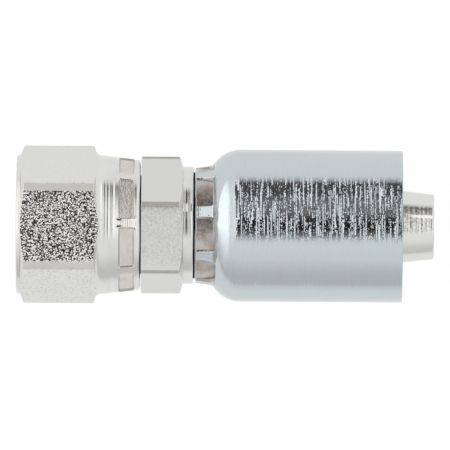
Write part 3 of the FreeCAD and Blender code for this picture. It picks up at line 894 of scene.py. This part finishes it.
@dataclass
class SwivelNut:
    """The nut that turns: hexagon, crimped neck, thread and retaining shoulder."""

    length: float = 22.36
    face: float = 12.65
    face_inset: float = 0.12
    face_length: float = 0.69
    mouth: float = 11.4
    chamfer_lead: float = 0.02
    chamfer_end: float = 1.32
    hex_end: float = 14.15
    neck: float = 12.73
    neck_lead: float = 0.2
    skirt: float = 11.72
    lip: float = 11.6
    fillet: float = 1.35
    fillet_steps: int = 8
    behind_marks: float = 0.65
    thread_root: float = 11.11
    thread_crest: float = 10.25
    thread_pitch: float = 1.814
    thread_first: float = 0.55
    thread_end: float = 11.2
    thread_run_out: float = 0.2
    root_share: float = 0.9
    crest_share: float = 0.25
    relief: float = 11.3
    relief_end: float = 12.6
    chamber: float = 10.45
    shoulder: float = 17.4
    bore: float = 9.0
    bore_chamfer: float = 0.3
    crimped_from: float = 16.0
    crimped_beyond: float = 10.0
    marked_beyond: float = 10.95
    hexagon: Hexagon = field(default_factory=lambda: Hexagon(12.7, 14.23, 0.0))
    marks: CrimpMarks = field(
        default_factory=lambda: CrimpMarks(18.6, 21.2, 1.8, -3.0, around=12.3, sink=0.24)
    )

    def neck_radius(self, along: float) -> float:
        """Radius of the tapered neck."""
        share = (along - self.hex_end) / (self.length - self.hex_end)
        return self.neck + (self.skirt - self.neck) * share

    def hollow(self, reach: float) -> list[Corner]:
        """Corners of the fillet that leads from the rear of the hexagon into the neck."""
        taper = math.atan((self.neck - self.skirt) / (self.length - self.hex_end))
        middle = self.hex_end + self.fillet
        centre = self.neck_radius(middle) + self.fillet / math.cos(taper)
        start = math.asin(max(0.0, (centre - reach) / self.fillet))
        corners = [Corner(middle - self.fillet * math.cos(start), reach, rounding=0.45, steps=4)]
        for step in range(1, self.fillet_steps + 1):
            turn = start + (QUARTER - taper - start) * step / self.fillet_steps
            along = middle - self.fillet * math.cos(turn)
            corners.append(Corner(along, centre - self.fillet * math.sin(turn)))
        return corners

    def outline(self, angle: float) -> Outline:
        """Outline of the nut at an angle."""
        reach = self.hexagon.reach(angle)
        rise = (reach - self.face) / (self.hexagon.corner - self.face)
        chamfer = self.face_length + self.chamfer_lead
        chamfer += (self.chamfer_end - self.face_length) * rise
        outer = [
            Corner(0.0, self.mouth, rounding=0.12, steps=2),
            Corner(0.0, self.face - self.face_inset, rounding=0.5, steps=5),
            Corner(self.face_length, self.face),
            Corner(chamfer, reach, rounding=0.12, steps=2, zone=self.hexagon.zone(angle)),
            *self.hollow(reach),
        ]
        ends = (self.hex_end + self.fillet + self.neck_lead, self.marks.end + self.behind_marks)
        neck = [Corner(place, self.neck_radius(place)) for place in ends]
        rear = [
            Corner(self.length, self.lip, rounding=0.42, steps=5, zone=Zone.INSIDE),
            *sharp(
                Zone.INSIDE,
                (self.length, self.bore + self.bore_chamfer),
                (self.length - self.bore_chamfer, self.bore),
                (self.shoulder + self.chamber - self.bore, self.bore),
                (self.shoulder, self.chamber),
                (self.relief_end, self.chamber),
            ),
            Corner(self.relief_end, self.relief, rounding=0.2, steps=2, zone=Zone.INSIDE),
            Corner(self.thread_end, self.relief, rounding=0.2, steps=2, zone=Zone.INSIDE),
            *sharp(
                Zone.INSIDE,
                (self.thread_end, self.thread_root),
                (self.mouth - self.thread_root, self.thread_root),
            ),
        ]
        corners = outer + add_stations(neck, self.marks.stations()) + rear
        return self.crimped(angle, *round_corners(corners))

    def crimped(self, angle: float, points: list[Point], zones: list[Zone]) -> Outline:
        """Press the marks into the neck's outside, with painted shade on the edge round each."""
        marks = self.marks
        pressed = []
        for index, (along, out) in enumerate(points):
            if out > self.crimped_beyond and along > self.crimped_from:
                out = marks.pressed(angle, along, out)
            pressed.append((along, out))
            # Painted shade: each mark's edge takes a darker finish.
            depth = marks.press(angle) * marks.within(along + JUST_PAST, marks.wall / 2)
            if depth > marks.edge_from and out > self.marked_beyond:
                zones[index] = Zone.PRESSED if depth > marks.floor_from else Zone.PAINTED_SHADE
        return pressed, zones

    def build(self, finishes: dict[Zone, Material]) -> None:
        """Build the nut and its thread, and make them ride."""
        dense = self.hexagon.dense_angles() + self.marks.dense_angles()
        angles = spread_angles(step=1.5, dense=dense)
        body = loft("nut_body", angles, self.outline, finishes)
        seat_piece(body, "nut", "plated_nut", "swivel_nut")
        wound = self.thread_end - self.thread_run_out - self.thread_first
        lengths = {
            "Pitch": self.thread_pitch,
            "Root radius": self.thread_root,
            "Height": self.thread_crest - self.thread_root,
            "Sunk": 0.1,
            "Half root": self.thread_pitch * self.root_share / 2,
            "Half crest": self.thread_pitch * self.crest_share / 2,
            "First": self.thread_first,
        }
        turns = wound / self.thread_pitch
        counts = {"Turns": turns, "Sides": 120, "Full size from": 0.42, "End size": 0.03}
        thread = grow("nut_thread", thread_tree, lengths, counts, finishes[Zone.INSIDE])
        seat_piece(thread, "nut", "plated_nut")


@dataclass
class HoseNipple:
    """The turned core: seated head, hexagon, collar, lock groove, barbed stem and tail."""

    head_front: float = 11.598
    head_rear: float = 17.488
    head: float = 10.15
    seat: float = 9.4
    seat_foot: float = 17.57
    bore: float = 4.9
    neck: float = 8.92
    neck_front: float = 18.718
    hex_front: float = 22.56
    hex_lead: float = 0.03
    hex_rim: float = 12.4
    hex_chamfer: float = 29.51
    chamfer_share: float = 0.97
    hex_rear: float = 30.16
    collar: float = 10.57
    collar_rear: float = 31.98
    collar_lip: float = 0.5
    groove: float = 8.6
    # Painted shade: the step behind the collar is drawn black, as the gap's shade.
    painted_shade_step: float = 9.6
    painted_shade_step_rear: float = 32.28
    ridge: float = 9.3
    ridge_front: float = 33.66
    ridge_rear: float = 34.56
    groove_rear: float = 36.34
    stem: float = 6.45
    stem_front: float = 38.49
    barb_start: float = 41.9
    barb_ramp: float = 5.0
    barb_pitch: float = 6.2
    barb_depth: float = 0.5
    land_start: float = 65.5
    tail_start: float = 69.95
    tail_end: float = 75.5
    tip: float = 5.85
    # Each corner's darker finish reaches 0.9 degrees into the flats beside it.
    hexagon: Hexagon = field(
        default_factory=lambda: Hexagon(11.1, 12.7, 10.9, ease=0.16, corner_spill=0.9)
    )

    def outline(self, angle: float) -> Outline:
        """Outline of the nipple at an angle."""
        reach = self.hexagon.reach(angle)
        zone = self.hexagon.zone(angle)
        fall = (self.hexagon.corner - reach) / (self.hexagon.corner - self.collar)
        chamfer = self.hex_chamfer + (self.hex_rear - self.hex_chamfer) * fall * self.chamfer_share
        low = self.stem - self.barb_depth
        corners = [
            Corner(self.head_front, self.seat),
            Corner(self.head_front, self.head, rounding=0.5, steps=4),
            Corner(self.head_rear, self.head),
            # Painted shade: the neck between the head and the hexagon is drawn black.
            Corner(self.neck_front, self.neck, zone=Zone.PAINTED_SHADE),
            Corner(self.hex_front, self.neck),
            Corner(self.hex_front, min(reach, self.hex_rim), rounding=0.05, steps=2),
            Corner(self.hex_front + self.hex_lead, reach, rounding=0.45, steps=5, zone=zone),
            Corner(chamfer, reach, rounding=0.15, steps=3),
            Corner(self.hex_rear, self.collar, rounding=0.08, steps=2, zone=Zone.RINGED),
            Corner(self.collar_rear, self.collar, rounding=0.28, steps=4),
            # Painted shade: the collar's rear wall and the step behind it are drawn black.
            *sharp(
                Zone.PAINTED_SHADE,
                (self.collar_rear, self.collar - self.collar_lip),
                (self.collar_rear, self.painted_shade_step),
                (self.painted_shade_step_rear, self.painted_shade_step),
            ),
            *sharp(
                Zone.TURNED,
                (self.painted_shade_step_rear, self.groove),
                (self.ridge_front, self.groove),
                (self.ridge_front, self.ridge),
                (self.ridge_rear, self.ridge),
                (self.ridge_rear, self.groove),
                (self.groove_rear, self.groove),
            ),
            Corner(self.stem_front, self.stem, rounding=1.0, steps=3),
            Corner(self.barb_start, self.stem, rounding=0.1, steps=2),
            Corner(self.barb_start + self.barb_ramp, low),
            Corner(self.land_start, low),
            Corner(self.land_start, self.stem, rounding=0.1, steps=2),
            Corner(self.tail_start, self.stem, rounding=0.6, steps=3, zone=Zone.TAIL),
            Corner(self.tail_end, self.tip, rounding=0.38, steps=5),
            Corner(self.tail_end, self.bore, rounding=0.22, steps=3, zone=Zone.INSIDE),
            Corner(self.seat_foot, self.bore, rounding=0.3, steps=3),
        ]
        return round_corners(corners)

    def build(self, finishes: dict[Zone, Material]) -> None:
        """Build the nipple and its barbs, and make them ride."""
        angles = spread_angles(step=2.0, dense=self.hexagon.dense_angles())
        body = loft("nipple_body", angles, self.outline, finishes)
        seat_piece(body, "hose_end", "plated_nipple", "hose_nipple")
        lengths = {
            "Radius": self.stem - self.barb_depth,
            "Sunk": -0.15,
            "Height": self.barb_depth,
            "Crest start": 0.0,
            "Crest end": self.barb_pitch - self.barb_ramp,
            "Foot": self.barb_pitch,
            "First": self.barb_start + self.barb_ramp,
            "Pitch": self.barb_pitch,
        }
        counts = {"Count": 3, "Sides": 160}
        barbs = grow("stem_barbs", ring_row_tree, lengths, counts, finishes[Zone.TURNED])
        seat_piece(barbs, "hose_end", "plated_nipple")


@dataclass
class CrimpShell:
    """The turned tube: crimped collar, rounded shoulder, plain tube and gripping teeth."""

    front: float = 32.36
    length: float = 37.44
    collar: float = 10.5
    collar_length: float = 3.09
    collar_lip: float = 0.5
    collar_rise: Point = (0.34, 0.42)
    rise_lead: Point = (0.3, 0.5)
    collar_stations: Point = (0.8, 1.5)
    shoulder_top: float = 5.416
    shoulder_radius: float = 5.9
    outside: float = 13.75
    cavity: float = 11.95
    cavity_corner: float = 6.35
    mouth_flare: float = 0.35
    mouth_length: float = 1.5
    lock_bore: float = 8.65
    lock_rear: float = 3.98
    recess: float = 9.35
    recess_front: float = 1.25
    recess_rear: float = 2.25
    tooth_count: int = 4
    tooth_pitch: float = 6.4
    tooth_inset: float = 3.8
    tooth_base: float = 2.0
    tooth_crest: float = 0.4
    tooth_height: float = 0.65
    crimped_beyond: float = 9.65
    marked_from: float = 0.1
    marks: CrimpMarks = field(
        default_factory=lambda: CrimpMarks(28.0, 35.7, 2.0, 30.2, around=10.5, sink=0.2, flare=0.2)
    )

    def outline(self, angle: float) -> Outline:
        """Outline of the shell at an angle."""
        front, rear = self.front, self.front + self.length
        collar_end = front + self.collar_length
        lead, tail = self.rise_lead
        risen, full = self.collar_rise
        straight = [
            Corner(front + lead, self.collar),
            Corner(collar_end - tail, self.collar + risen),
        ]
        corners = [
            # Painted shade: the front face that meets the nipple's collar is drawn black.
            Corner(front, self.lock_bore, rounding=0.1, steps=2, zone=Zone.PAINTED_SHADE),
            Corner(front, self.collar - self.collar_lip),
            Corner(front, self.collar, rounding=0.15, steps=3),
            *add_stations(straight, [front + station for station in self.collar_stations]),
            Corner(collar_end, self.collar + full, rounding=1.0, steps=6),
            Corner(
                front + self.shoulder_top, self.outside, self.shoulder_radius, steps=24, share=0.86
            ),
            Corner(rear, self.outside, rounding=0.2, steps=3),
            Corner(rear, self.cavity + self.mouth_flare, rounding=0.12, steps=2, zone=Zone.INSIDE),
            Corner(rear - self.mouth_length, self.cavity, zone=Zone.INSIDE),
            Corner(
                front + self.cavity_corner, self.cavity, rounding=1.2, steps=4, zone=Zone.INSIDE
            ),
            *sharp(
                Zone.INSIDE,
                (front + self.lock_rear, self.lock_bore),
                (front + self.recess_rear, self.lock_bore),
                (front + self.recess_rear, self.recess),
                (front + self.recess_front, self.recess),
                (front + self.recess_front, self.lock_bore),
            ),
        ]
        return self.crimped(angle, *round_corners(corners))

    def crimped(self, angle: float, points: list[Point], zones: list[Zone]) -> Outline:
        """Press the marks into the outside of the collar."""
        marks = self.marks
        start, end = self.front + self.marked_from, marks.end - marks.wall / 2
        pressed = []
        for index, (along, out) in enumerate(points):
            if out > self.crimped_beyond:
                out = marks.pressed(angle, along, out)
            pressed.append((along, out))
            marked = start < along + JUST_PAST < end and out > self.crimped_beyond
            if marked and marks.press(angle, along) > marks.wall_from:
                zones[index] = Zone.PRESSED
        return pressed, zones

    def build(self, finishes: dict[Zone, Material]) -> None:
        """Build the shell and its teeth, and make them ride."""
        angles = spread_angles(step=1.5, dense=self.marks.dense_angles())
        body = loft("shell_body", angles, self.outline, finishes)
        seat_piece(body, "hose_end", "bright_zinc_tube", "crimp_shell")
        flank = (self.tooth_base - self.tooth_crest) / 2
        last = self.front + self.length - self.tooth_inset - self.tooth_base
        lengths = {
            "Radius": self.cavity,
            "Sunk": 0.2,
            "Height": -self.tooth_height,
            "Crest start": flank,
            "Crest end": flank + self.tooth_crest,
            "Foot": self.tooth_base,
            "First": last - (self.tooth_count - 1) * self.tooth_pitch,
            "Pitch": self.tooth_pitch,
        }
        counts = {"Count": self.tooth_count, "Sides": 180}
        teeth = grow("shell_teeth", ring_row_tree, lengths, counts, finishes[Zone.INSIDE])
        seat_piece(teeth, "hose_end", "bright_zinc_tube")


# Studio


@dataclass
class Studio:
    """Camera, surroundings, lamp and floor.

    A direction's lean is its angle from straight up towards the far side, in degrees, and the
    ramps of the surroundings are pairs of a lean and a value.
    """

    middle_along: float = 37.71
    frame_width: float = 81.47
    distance: float = 2400.0
    tilt: float = 1.4
    roll: float = 0.4
    aim_up: float = 0.09
    sensor: float = 36.0
    clip: Point = (0.05, 20.0)
    floor_size: float = 3000.0
    paper: float = 0.95
    paper_fade: Point = (50.0, 150.0)
    far_paper: float = 0.72
    glow: float = 1.04
    seen_glow: float = 0.9
    mirrored_glow: float = 0.6
    lean_reach: float = 120.0
    gap_softness: float = 0.018
    gap_colour: str = "#332B27"
    rim_reach: Point = (0.1, 0.3)
    rim_level: float = 0.3
    window_reach: Point = (-0.55, -0.75)
    window_level: tuple[Point, ...] = ((-60.0, 0.2), (-30.0, 0.36), (-5.0, 0.6), (60.0, 0.6))
    gap_depth: tuple[Point, ...] = (
        (-25.0, 0.0), (-12.0, 0.85), (-4.0, 1.0), (10.0, 1.0), (22.0, 0.85),
        (40.0, 0.85), (52.0, 0.95), (70.0, 0.95), (84.0, 0.0),
    )
    gap_width: tuple[Point, ...] = ((26.0, 0.212), (54.0, 0.216), (70.0, 0.209), (84.0, 0.19))
    room_level: tuple[Point, ...] = (
        (-112.0, 0.9), (-98.0, 0.7), (-84.0, 0.7), (-70.0, 0.77),
        (-50.0, 0.93), (-30.0, 0.97), (60.0, 1.0), (100.0, 0.92),
    )
    lamp_place: Triple = (-0.8, 0.0, 0.62)
    lamp_size: Point = (0.8, 1.6)
    lamp_power: float = 0.1

    def add_camera(self) -> None:
        """Set a long lens above the fitting, looking almost straight down."""
        data = bpy.data.cameras.new("camera")
        data.sensor_width = self.sensor
        data.lens = self.sensor * self.distance / self.frame_width
        data.clip_start, data.clip_end = self.clip
        camera = add_object("camera", data)
        tilt, roll = math.radians(self.tilt), math.radians(self.roll)
        reach = self.distance * MM
        back = reach * math.sin(tilt)
        camera.location = (
            self.middle_along * MM - back * math.sin(roll),
            self.aim_up * MM + back * math.cos(roll),
            reach * math.cos(tilt),
        )
        camera.rotation_euler = (-tilt, 0.0, roll)
        bpy.context.scene.camera = camera

    def add_world(self) -> None:
        """Surround the fitting with white, apart from a dark gap overhead that metal mirrors.

        The gap runs along the fitting and has a soft edge with a brighter rim beside it. A window
        off one end brightens what faces that way.
        """
        world = bpy.data.worlds.new("white_room")
        world.use_nodes = True
        tree = world.node_tree
        tree.nodes.clear()
        way = add_node(tree, "ShaderNodeTexCoord").outputs["Generated"]
        parts = add_node(tree, "ShaderNodeSeparateXYZ", (way,)).outputs
        lean = add_node(tree, "ShaderNodeMath", (parts["Y"], parts["Z"]), operation="ARCTAN2")
        reach = math.radians(self.lean_reach)
        share = add_node(tree, "ShaderNodeMapRange", (lean, -reach, reach, 0.0, 1.0))
        ramps = []
        for stops in (self.gap_depth, self.gap_width, self.room_level, self.window_level):
            ramps.append(add_node(tree, "ShaderNodeValToRGB", (share,)))
            self.set_stops(ramps[-1].color_ramp, stops)
        depth, width, level, glow = ramps
        side = add_node(tree, "ShaderNodeMath", (parts["X"],), operation="ABSOLUTE")
        past = add_node(tree, "ShaderNodeMath", (side, width), operation="SUBTRACT")
        soft = (past, self.gap_softness, -self.gap_softness, 0.0, 1.0)
        inside = add_node(tree, "ShaderNodeMapRange", soft)
        dark = add_node(tree, "ShaderNodeMath", (inside, depth), operation="MULTIPLY")
        end = add_node(tree, "ShaderNodeMapRange", (parts["X"], *self.window_reach, 0.0, 1.0))
        window = add_node(tree, "ShaderNodeMath", (end, glow), operation="MULTIPLY")
        beside = add_node(tree, "ShaderNodeMapRange", (past, *self.rim_reach, self.rim_level, 0.0))
        both = (beside, depth, window)
        more = add_node(tree, "ShaderNodeMath", both, operation="MULTIPLY_ADD")
        white = add_node(tree, "ShaderNodeMath", (more, level, level), operation="MULTIPLY_ADD")
        colours = {0: dark, MIX_FIRST: white, MIX_SECOND: linear(self.gap_colour)}
        mix = add_node(tree, "ShaderNodeMix", colours, data_type="RGBA").outputs[MIX_RESULT]
        light = add_node(tree, "ShaderNodeBackground", {"Color": mix, "Strength": 1.0})
        add_node(tree, "ShaderNodeOutputWorld", {"Surface": light})
        bpy.context.scene.world = world

    def set_stops(self, ramp: bpy.types.ColorRamp, stops: tuple[Point, ...]) -> None:
        """Give a ramp grey stops, each from a lean and its value."""
        while len(ramp.elements) > 1:
            ramp.elements.remove(ramp.elements[-1])
        for index, (lean, value) in enumerate(stops):
            place = (lean + self.lean_reach) / (2 * self.lean_reach)
            stop = ramp.elements[0] if index == 0 else ramp.elements.new(place)
            stop.position = place
            stop.color = (value, value, value, 1.0)

    def add_lamp(self) -> None:
        """Add a soft box that faces the fitting from one end."""
        data = bpy.data.lights.new("side_soft_box", "AREA")
        data.shape = "RECTANGLE"
        data.size, data.size_y = self.lamp_size
        data.energy = self.lamp_power
        lamp = add_object("side_soft_box", data)
        lamp.location = self.lamp_place
        aim = lamp.location.copy()
        aim.x -= self.middle_along * MM
        lamp.rotation_euler = aim.to_track_quat("Z", "Y").to_euler()

    def add_floor(self) -> None:
        """Lay a white floor that keeps a faint shadow under the fitting.

        It glows where it is looked at or mirrored, so that it stays white, and darkens
        towards -Y.
        """
        material, tree, place = new_material("white_paper")
        across = add_node(tree, "ShaderNodeSeparateXYZ", (place,)).outputs["Y"]
        near, far = (-distance * MM for distance in self.paper_fade)
        level = add_node(tree, "ShaderNodeMapRange", (across, near, far, 1.0, self.far_paper))
        shade = add_node(tree, "ShaderNodeMath", (level, self.paper), operation="MULTIPLY")
        paper = add_node(tree, "ShaderNodeBsdfDiffuse", (shade,))
        glow = add_node(tree, "ShaderNodeEmission", {"Color": level, "Strength": self.glow})
        path = add_node(tree, "ShaderNodeLightPath").outputs
        straight = (path["Is Camera Ray"], path["Is Transmission Ray"])
        straight = add_node(tree, "ShaderNodeMath", straight, operation="MAXIMUM")
        kinds = ((straight, self.seen_glow), (path["Is Glossy Ray"], self.mirrored_glow))
        shares = tuple(add_node(tree, "ShaderNodeMath", k, operation="MULTIPLY") for k in kinds)
        share = add_node(tree, "ShaderNodeMath", shares, operation="MAXIMUM")
        both = add_node(tree, "ShaderNodeMixShader", (share, paper, glow))
        add_node(tree, "ShaderNodeOutputMaterial", {"Surface": both})
        half = self.floor_size / 2 * MM
        low = CAD_BOX[0][2]
        corners = [(-half, -half, low), (half, -half, low), (half, half, low), (-half, half, low)]
        mesh = bpy.data.meshes.new("floor")
        mesh.from_pydata(corners, [], [(0, 1, 2, 3)])
        mesh.materials.append(material)
        add_object("floor", mesh)

    def build(self) -> None:
        """Set up everything that isn't part of the fitting."""
        self.add_camera()
        self.add_world()
        self.add_floor()
        self.add_lamp()
        bpy.context.scene.view_settings.view_transform = "Standard"


def main() -> None:
    """Build the fitting and its studio."""
    inside = TurnedZinc("clear_zinc_plated_bore", roughness=(0.3, 0.4)).material()
    edge = {"roughness": (0.58, 0.66), "depth_mm": 0.02}
    even = {"coarse_until": 100.0}
    # Painted shade: black for the narrow gaps between parts.
    gap = painted_shade_steel()
    nut = {
        Zone.TURNED: TurnedZinc().material(),
        Zone.FLAT: BarSkin().material(),
        Zone.BAR_EDGE: TurnedZinc(
            "clear_zinc_plated_bar_edge", "#DCDBD6", shade="#D7D6D0", **edge
        ).material(),
        Zone.PRESSED: PressedZinc().material(),
        Zone.INSIDE: inside,
        # Painted shade: a darker plating on the crimp marks' edges, where shade falls.
        Zone.PAINTED_SHADE: PressedZinc("zinc_painted_shade_at_pressed_edge", "#BDB9B3", rub="#B0AAA3").material(),
    }
    nipple = {
        Zone.TURNED: TurnedZinc(
            "clear_zinc_plated_finely_turned", roughness=(0.05, 0.08), depth_mm=0.004, **even
        ).material(),
        Zone.FLAT: BarSkin("clear_zinc_plated_drawn_bar", "#D5D5D1", slope=0.08).material(),
        # A darker finish along the hexagon's corners, in a strip wider than their rounding.
        Zone.BAR_EDGE: TurnedZinc(
            "clear_zinc_plated_darker_corner_strip", "#C0BCB6", shade="#BCB7B1", **edge
        ).material(),
        Zone.RINGED: TurnedZinc(
            "clear_zinc_plated_ringed", roughness=(0.06, 0.1), depth_mm=0.15, grain=0.03, **even
        ).material(),
        Zone.TAIL: FeedMarkedZinc().material(),
        Zone.INSIDE: inside,
        Zone.PAINTED_SHADE: gap,
    }
    tube = BrightZincTube().material()
    shell = {
        Zone.TURNED: tube,
        Zone.PRESSED: PressedZinc("jaw_pressed_bright_zinc", "#C0BDBA", rub="#AA9A8F").material(),
        Zone.INSIDE: tube,
        Zone.PAINTED_SHADE: gap,
    }
    SwivelNut().build(nut)
    HoseNipple().build(nipple)
    CrimpShell().build(shell)
    Studio().build()


if __name__ == "__main__":
    main()
